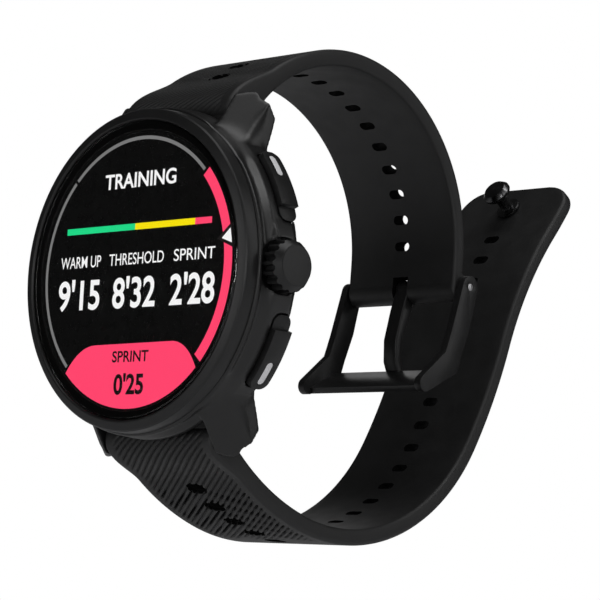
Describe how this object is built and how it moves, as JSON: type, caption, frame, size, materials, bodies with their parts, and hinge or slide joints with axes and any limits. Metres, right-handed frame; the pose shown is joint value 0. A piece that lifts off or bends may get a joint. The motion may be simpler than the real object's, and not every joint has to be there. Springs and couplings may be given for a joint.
{
  "type": "gps running watch",
  "caption": "Round sports watch with a flat glass, side buttons and a grip crown, on a ribbed pierced rubber strap with a pin buckle and a stud fastener.",
  "frame": {"origin": "centre of the sensor window's flat face, which rests on the skin", "axes": "+X from the case's centre to the crown at 3 o'clock, +Y from the glass through the back to the wrist, +Z to 12 o'clock"},
  "size_m": [0.049, 0.0854, 0.0717],
  "materials": {
    "black_metal": "satin black coating",
    "black_case": "matt moulded",
    "glass": "polished",
    "display": "glossy",
    "steel": "satin",
    "seal_rubber": "matt",
    "flex_film": "glossy",
    "inner_plastic": "matt",
    "board": "solder mask",
    "chip": "matt",
    "battery_foil": "foil",
    "gold": "plated",
    "brass": "satin",
    "vent_fabric": "woven",
    "window": "glossy",
    "led": "glossy",
    "diode": "glossy",
    "marker_white": "glossy",
    "strap_rubber": "matt silicone"
  },
  "bodies": {
    "case": {"bezel": "black_metal", "cover_glass": "glass", "glass_seal": "seal_rubber", "display_panel": "display", "display_plate": "steel", "display_flex": "flex_film", "mid_case": "black_case", "chassis": "inner_plastic", "main_board": "board", "board_chips": "chip", "processor_shield": "steel", "battery": "battery_foil", "gnss_antenna": "gold", "vibration_motor": "steel", "sounder": "brass", "pressure_vent": "vent_fabric", "back_gasket": "seal_rubber", "back_cover": "black_case", "back_screws": "steel", "sensor_window": "window", "sensor_board": "board", "sensor_leds": "led", "photodiodes": "diode", "charging_contacts": "gold", "crown_tube": "steel", "crown_switch": "chip", "upper_switch": "chip", "lower_switch": "chip"},
    "crown_push": {"crown_thrust_plate": "steel", "crown_spring": "steel"},
    "crown": {"crown_knob": "black_metal", "crown_shaft": "steel", "crown_seals": "seal_rubber", "crown_clip": "steel"},
    "upper_button": {"upper_button_cap": "black_metal", "upper_button_marker": "marker_white", "upper_button_stem": "steel", "upper_button_seal": "seal_rubber", "upper_button_clip": "steel", "upper_button_spring": "steel"},
    "lower_button": {"lower_button_cap": "black_metal", "lower_button_marker": "marker_white", "lower_button_stem": "steel", "lower_button_seal": "seal_rubber", "lower_button_clip": "steel", "lower_button_spring": "steel"},
    "buckle_strap": {"buckle_strap": "strap_rubber", "buckle_strap_bar": "steel"},
    "buckle_strap_lever": {"buckle_strap_lever": "steel"},
    "tail_strap": {"tail_strap": "strap_rubber", "tail_strap_bar": "steel", "strap_stud": "black_metal", "stud_backplate": "black_metal"},
    "tail_strap_lever": {"tail_strap_lever": "steel"},
    "buckle": {"buckle_frame": "black_metal", "buckle_pin": "steel"},
    "tongue": {"buckle_tongue": "black_metal"}
  },
  "joints": [
    {"name": "crown_press", "type": "slide", "parent": "case", "child": "crown_push", "axis": [-1, 0, 0], "range_m": [0, 0.0005], "stiffness_N_per_m": 1500, "springref_m": -0.0004},
    {"name": "crown_spin", "type": "hinge", "parent": "crown_push", "child": "crown", "pos_m": [0.024, -0.0047, 0], "axis": [1, 0, 0], "continuous": true},
    {"name": "upper_button_press", "type": "slide", "parent": "case", "child": "upper_button", "axis": [-0.8704, 0, -0.4924], "range_m": [0, 0.0004], "stiffness_N_per_m": 1500, "springref_m": -0.0004},
    {"name": "lower_button_press", "type": "slide", "parent": "case", "child": "lower_button", "axis": [-0.8704, 0, 0.4924], "range_m": [0, 0.0004], "stiffness_N_per_m": 1500, "springref_m": -0.0004},
    {"name": "buckle_strap_swing", "type": "hinge", "parent": "case", "child": "buckle_strap", "pos_m": [0, -0.0024, 0.0232], "axis": [1, 0, 0], "range_deg": [-20, 1.5]},
    {"name": "tail_strap_swing", "type": "hinge", "parent": "case", "child": "tail_strap", "pos_m": [0, -0.0024, -0.0232], "axis": [-1, 0, 0], "range_deg": [-1.5, 50]},
    {"name": "buckle_lever_slide", "type": "slide", "parent": "buckle_strap", "child": "buckle_strap_lever", "axis": [-1, 0, 0], "range_m": [0, 0.0014], "stiffness_N_per_m": 600, "springref_m": -0.0006},
    {"name": "tail_lever_slide", "type": "slide", "parent": "tail_strap", "child": "tail_strap_lever", "axis": [-1, 0, 0], "range_m": [0, 0.0014], "stiffness_N_per_m": 600, "springref_m": -0.0006},
    {"name": "buckle_swing", "type": "hinge", "parent": "buckle_strap", "child": "buckle", "pos_m": [0, 0.0462, 0.0038], "axis": [1, 0, 0], "range_deg": [-60, 3]},
    {"name": "tongue_swing", "type": "hinge", "parent": "buckle", "child": "tongue", "pos_m": [0, 0.0462, 0.0038], "axis": [1, 0, 0], "range_deg": [0, 20]}
  ]
}
